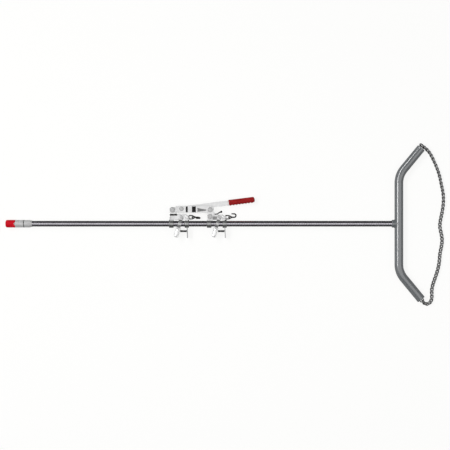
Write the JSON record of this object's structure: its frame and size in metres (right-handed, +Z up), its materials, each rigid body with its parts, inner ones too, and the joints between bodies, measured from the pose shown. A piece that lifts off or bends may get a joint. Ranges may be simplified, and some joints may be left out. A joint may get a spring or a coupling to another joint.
{
  "type": "calving jack",
  "caption": "Ratchet calving jack: ring-grooved rod with a bent tube bow and chain, and a lever that walks two clamp carriages with rope hooks along the rod.",
  "frame": {"origin": "on the floor, under the middle of the box of the rigid parts (chain left out), with the jack lying on its side", "axes": "+X along the rod towards the bow, +Y across the rod towards the lever, +Z up from the floor"},
  "size_m": [1.8031, 0.6681, 0.0353],
  "materials": {
    "rod_steel": "turned ratchet bar, oiled, fine ring grooves",
    "zinc_steel": "bright zinc-plated pressed steel",
    "machined_steel": "turned steel, light oil",
    "bronze_bush": "sintered bush, hidden in the collars",
    "bow_paint": "smooth grey stoved paint",
    "sleeve_metal": "satin light grey",
    "red_cap": "semi-gloss red",
    "red_grip": "soft moulded red grip",
    "pale_collar": "pale moulded collar",
    "black_rubber": "matt black rubber",
    "black_plastic": "black dipped tip",
    "dark_steel": "dark forged wire",
    "chain_steel": "twisted steel chain",
    "bright_fastener": "bright zinc bolts, pins and rivets",
    "spring_steel": "spring wire",
    "dark_mark": "plain dark bands",
    "grey_mark": "plain grey wedge"
  },
  "bodies": {
    "root": {"ratchet_rod": "rod_steel", "tail_sleeve": "sleeve_metal", "tail_ring": "black_rubber", "tail_ferrule": "sleeve_metal", "tail_cap": "red_cap", "rod_socket": "bow_paint", "bow_tube": "bow_paint", "bow_plug_upper": "bow_paint", "bow_plug_lower": "bow_paint", "chain_eye": "dark_steel", "chain_catch": "dark_steel", "rump_chain": "chain_steel"},
    "rear_carriage": {"rear_cheek_near": "zinc_steel", "rear_cheek_far": "zinc_steel", "rear_tail_collar": "machined_steel", "rear_head_collar": "machined_steel", "rear_bushes": "bronze_bush", "rear_tow_lug": "zinc_steel", "rear_lug_rivet": "bright_fastener", "rear_clamp_pin": "bright_fastener", "rear_thumb_plate": "machined_steel", "rear_clamp_spring": "spring_steel", "rear_ears": "zinc_steel", "rear_buffers": "black_rubber", "fulcrum_pin": "bright_fastener", "fulcrum_washers": "machined_steel"},
    "rear_clamp": {"rear_clamp_lever": "zinc_steel", "rear_clamp_jaws": "dark_steel"},
    "rear_tow_bail": {"rear_bail": "dark_steel"},
    "rear_tow_hook": {"rear_hook": "dark_steel"},
    "front_carriage": {"front_cheek_near": "zinc_steel", "front_cheek_far": "zinc_steel", "front_tail_collar": "machined_steel", "front_head_collar": "machined_steel", "front_bushes": "bronze_bush", "front_tow_lug": "zinc_steel", "front_lug_rivet": "bright_fastener", "front_clamp_pin": "bright_fastener", "front_thumb_plate": "machined_steel", "front_clamp_spring": "spring_steel", "front_ear_near": "zinc_steel", "front_ear_far": "zinc_steel", "link_pin": "bright_fastener", "link_washers": "machined_steel", "ear_bolt": "bright_fastener", "ear_washers": "machined_steel", "catch_pin": "bright_fastener"},
    "front_clamp": {"front_clamp_lever": "zinc_steel", "front_clamp_jaws": "dark_steel"},
    "front_tow_bail": {"front_bail": "dark_steel"},
    "front_tow_hook": {"front_hook": "dark_steel"},
    "catch": {"catch_lever": "spring_steel", "catch_tip": "black_plastic"},
    "lever": {"lever_arm": "zinc_steel", "grip": "red_grip", "grip_collar": "pale_collar", "drive_pin": "bright_fastener", "drive_washers": "machined_steel"},
    "link": {"link_channel": "zinc_steel", "link_bands": "dark_mark", "link_wedge": "grey_mark"}
  },
  "joints": [
    {"name": "carriage_slide", "type": "slide", "parent": "root", "child": "rear_carriage", "axis": [1, 0, 0], "range_m": [-0.555, 0.565]},
    {"name": "lever_swing", "type": "hinge", "parent": "rear_carriage", "child": "lever", "pos_m": [-0.1749, 0.0562, 0.01765], "axis": [0, 0, 1], "range_deg": [0, 60]},
    {"name": "link_swing", "type": "hinge", "parent": "lever", "child": "link", "pos_m": [-0.1377, 0.0609, 0.01765], "axis": [0, 0, 1], "range_deg": [-76, 0]},
    {"name": "front_carriage_slide", "type": "slide", "parent": "rear_carriage", "child": "front_carriage", "axis": [1, 0, 0], "range_m": [-0.0246, 0]},
    {"name": "rear_clamp_release", "type": "hinge", "parent": "rear_carriage", "child": "rear_clamp", "pos_m": [-0.1376, 0.0275, 0.01765], "axis": [0, 0, 1], "range_deg": [0, 8], "stiffness_Nm_per_rad": 2, "springref_deg": -6.88, "deforming": ["rear_clamp_spring"]},
    {"name": "front_clamp_release", "type": "hinge", "parent": "front_carriage", "child": "front_clamp", "pos_m": [0.0174, 0.0275, 0.01765], "axis": [0, 0, 1], "range_deg": [0, 8], "stiffness_Nm_per_rad": 2, "springref_deg": -6.88, "deforming": ["front_clamp_spring"]},
    {"name": "rear_bail_swing", "type": "hinge", "parent": "rear_carriage", "child": "rear_tow_bail", "pos_m": [-0.1069, 0.0265, 0.01765], "axis": [0, 1, 0], "range_deg": [-100, 0]},
    {"name": "front_bail_swing", "type": "hinge", "parent": "front_carriage", "child": "front_tow_bail", "pos_m": [0.0431, 0.0265, 0.01765], "axis": [0, 1, 0], "range_deg": [-100, 0]},
    {"name": "rear_hook_swivel", "type": "hinge", "parent": "rear_tow_bail", "child": "rear_tow_hook", "pos_m": [-0.1069, 0.0265, 0.01765], "axis": [0.9304, 0, -0.3665], "range_deg": [-200, 0]},
    {"name": "front_hook_swivel", "type": "hinge", "parent": "front_tow_bail", "child": "front_tow_hook", "pos_m": [0.0431, 0.0265, 0.01765], "axis": [0.9432, 0, -0.3322], "range_deg": [-90, 90]},
    {"name": "catch_swing", "type": "hinge", "parent": "front_carriage", "child": "catch", "pos_m": [-0.0051, 0.0423, 0.01765], "axis": [0, 0, 1], "range_deg": [0, 25]}
  ],
  "couplings": [
    {"joint": "link_swing", "follows": "lever_swing", "ratio": -1.26},
    {"joint": "front_carriage_slide", "follows": "lever_swing", "m_per_rad": -0.0234}
  ]
}
